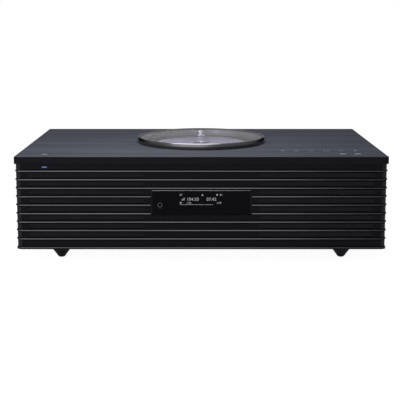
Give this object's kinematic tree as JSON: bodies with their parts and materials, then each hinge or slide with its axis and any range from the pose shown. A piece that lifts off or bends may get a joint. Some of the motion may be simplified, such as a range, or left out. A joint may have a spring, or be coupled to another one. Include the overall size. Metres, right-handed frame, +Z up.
{
  "type": "all-in-one stereo system",
  "caption": "Wide low black stereo console with a brushed aluminium top, a clear swivel lid over a top-loading disc drive, ribbed front and sides, a small display and cone feet",
  "frame": {"origin": "on the table, under the middle of the box of the whole object", "axes": "+X to the right as seen from the front, +Y to the rear, +Z up; the front faces -Y"},
  "size_m": [0.45, 0.28, 0.143],
  "materials": {
    "brushed_aluminium": "dark hairline brushed",
    "black_satin": "satin black",
    "black_matte": "fine matte black",
    "speaker_cloth": "tight black weave",
    "foot_rubber": "dull black",
    "dark_steel": "black coated steel",
    "bright_steel": "plain steel",
    "polished_metal": "polished",
    "black_gloss": "smoked gloss black",
    "circuit_board": "green circuit board",
    "socket_dark": "dark socket",
    "status_light": "lit pale blue",
    "button_metal": "dished satin metal",
    "clear_acrylic": "clear polished acrylic",
    "bush_brass": "turned brass",
    "well_plastic": "fine satin grey",
    "disc_mirror": "silver disc",
    "hub_plastic": "dark plastic",
    "lens_glass": "coated lens",
    "box_board": "bare fibreboard",
    "magnet_iron": "dull ferrite",
    "cone_paper": "pressed dark paper",
    "dome_fabric": "coated soft dome"
  },
  "bodies": {
    "case": {"top_plate": "brushed_aluminium", "front_grille": "black_satin", "grille_cloth": "speaker_cloth", "side_panel_left": "black_satin", "side_panel_right": "black_satin", "rear_panel": "black_matte", "base_plate": "black_matte", "feet": "foot_rubber", "case_screws": "dark_steel", "display_window": "black_gloss", "display_module": "circuit_board", "headphone_jack": "socket_dark", "status_led": "status_light", "key_board": "circuit_board", "pivot_bush": "bush_brass", "disc_well": "well_plastic", "spindle_motor": "bright_steel", "drive_chassis": "bright_steel", "drive_dampers": "foot_rubber", "guide_rods": "polished_metal", "sled_motor": "bright_steel", "speaker_box_left": "box_board", "speaker_box_right": "box_board", "woofer_frame_left": "dark_steel", "woofer_frame_right": "dark_steel", "woofer_magnet_left": "magnet_iron", "woofer_magnet_right": "magnet_iron", "tweeter_body_left": "dark_steel", "tweeter_body_right": "dark_steel", "reflex_port_left": "black_matte", "reflex_port_right": "black_matte", "subwoofer_frame": "dark_steel", "subwoofer_magnet": "magnet_iron", "subwoofer_box": "box_board", "subwoofer_grille": "dark_steel", "main_board": "circuit_board", "heat_sink": "brushed_aluminium", "power_supply": "circuit_board", "mains_inlet": "black_matte", "network_socket": "bright_steel", "usb_socket": "bright_steel", "line_in_socket": "socket_dark", "antenna_socket": "bush_brass"},
    "lid": {"disc_lid": "clear_acrylic", "pivot_post": "polished_metal", "pivot_nut": "bright_steel"},
    "rotor": {"turntable_hub": "hub_plastic", "compact_disc": "disc_mirror"},
    "sled": {"pickup_sled": "hub_plastic"},
    "lens": {"objective_lens": "lens_glass"},
    "lead": {"lead_screw": "polished_metal"},
    "power_key": {"power_button": "button_metal"},
    "volume_down_key": {"volume_down_button": "button_metal"},
    "volume_up_key": {"volume_up_button": "button_metal"},
    "woofer_left": {"woofer_cone_left": "cone_paper"},
    "woofer_right": {"woofer_cone_right": "cone_paper"},
    "tweeter_left": {"tweeter_dome_left": "dome_fabric"},
    "tweeter_right": {"tweeter_dome_right": "dome_fabric"},
    "subwoofer": {"subwoofer_cone": "cone_paper"}
  },
  "joints": [
    {"name": "lid_swivel", "type": "hinge", "parent": "case", "child": "lid", "pos_m": [0, 0.071, 0.135], "axis": [0, 0, -1], "range_deg": [0, 110]},
    {"name": "disc_spin", "type": "hinge", "parent": "case", "child": "rotor", "pos_m": [0, 0, 0.13], "axis": [0, 0, 1], "continuous": true},
    {"name": "pickup_slide", "type": "slide", "parent": "case", "child": "sled", "axis": [1, 0, 0], "range_m": [0, 0.034]},
    {"name": "lens_focus", "type": "slide", "parent": "sled", "child": "lens", "axis": [0, 0, 1], "range_m": [-0.0005, 0.0005], "stiffness_N_per_m": 30},
    {"name": "lead_turn", "type": "hinge", "parent": "case", "child": "lead", "pos_m": [0.04, 0.0245, 0.115], "axis": [1, 0, 0], "range_deg": [-10, 4100]},
    {"name": "power_press", "type": "slide", "parent": "case", "child": "power_key", "axis": [0, 0, -1], "range_m": [0, 0.0008], "stiffness_N_per_m": 500},
    {"name": "volume_down_press", "type": "slide", "parent": "case", "child": "volume_down_key", "axis": [0, 0, -1], "range_m": [0, 0.0008], "stiffness_N_per_m": 500},
    {"name": "volume_up_press", "type": "slide", "parent": "case", "child": "volume_up_key", "axis": [0, 0, -1], "range_m": [0, 0.0008], "stiffness_N_per_m": 500},
    {"name": "woofer_left_stroke", "type": "slide", "parent": "case", "child": "woofer_left", "axis": [0, -1, 0], "range_m": [-0.002, 0.002], "stiffness_N_per_m": 1000},
    {"name": "woofer_right_stroke", "type": "slide", "parent": "case", "child": "woofer_right", "axis": [0, -1, 0], "range_m": [-0.002, 0.002], "stiffness_N_per_m": 1000},
    {"name": "tweeter_left_stroke", "type": "slide", "parent": "case", "child": "tweeter_left", "axis": [0, -1, 0], "range_m": [-0.0003, 0.0003], "stiffness_N_per_m": 1000},
    {"name": "tweeter_right_stroke", "type": "slide", "parent": "case", "child": "tweeter_right", "axis": [0, -1, 0], "range_m": [-0.0003, 0.0003], "stiffness_N_per_m": 1000},
    {"name": "subwoofer_stroke", "type": "slide", "parent": "case", "child": "subwoofer", "axis": [0, 0, -1], "range_m": [-0.004, 0.004], "stiffness_N_per_m": 1500}
  ],
  "couplings": [
    {"joint": "lead_turn", "follows": "pickup_slide", "rad_per_m": 2094.4}
  ]
}
